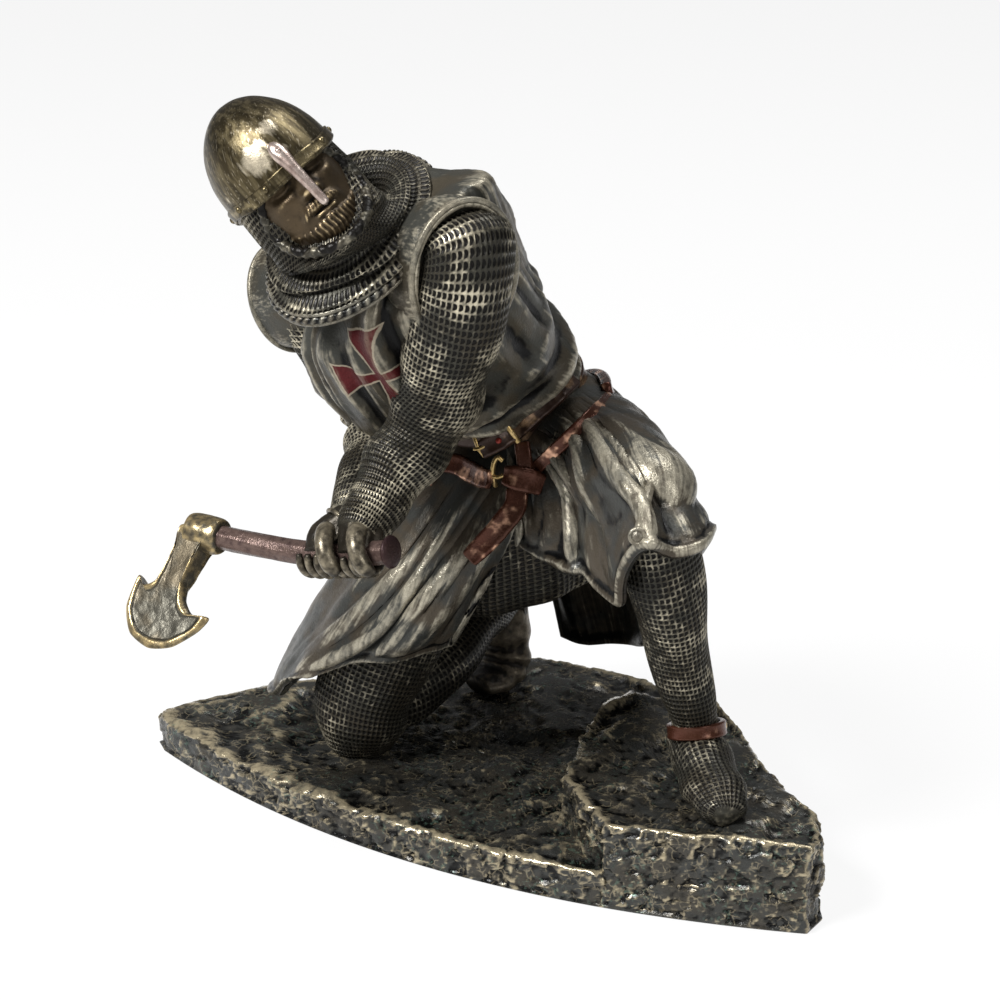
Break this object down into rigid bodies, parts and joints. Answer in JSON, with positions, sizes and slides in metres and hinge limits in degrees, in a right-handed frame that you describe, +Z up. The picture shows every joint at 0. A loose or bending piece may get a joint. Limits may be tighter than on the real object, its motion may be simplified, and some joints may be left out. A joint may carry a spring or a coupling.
{
  "type": "medieval knight statue",
  "caption": "Cast shelf statue of a mailed medieval knight in helmet and surcoat, kneeling on rough rock and gripping an axe in both hands, in dark bronze finish.",
  "frame": {"origin": "middle of the base's flat underside, at its length and depth in plan", "axes": "+X along the base from its pointed end to the raised block, +Y from the long curved front edge to the back, +Z up"},
  "size_m": [0.1957, 0.1581, 0.19],
  "materials": {
    "rock_bronze": "cast resin, blackened bronze finish rubbed bright on the ridges of the rock",
    "figure_bronze": "cast resin, dark bronze and pewter finish rubbed bright on mail rings and folds",
    "axe_bronze": "cast resin, aged gold bronze finish"
  },
  "bodies": {
    "root": {"rock_base": "rock_bronze", "knight": "figure_bronze", "axe": "axe_bronze"}
  },
  "joints": []
}
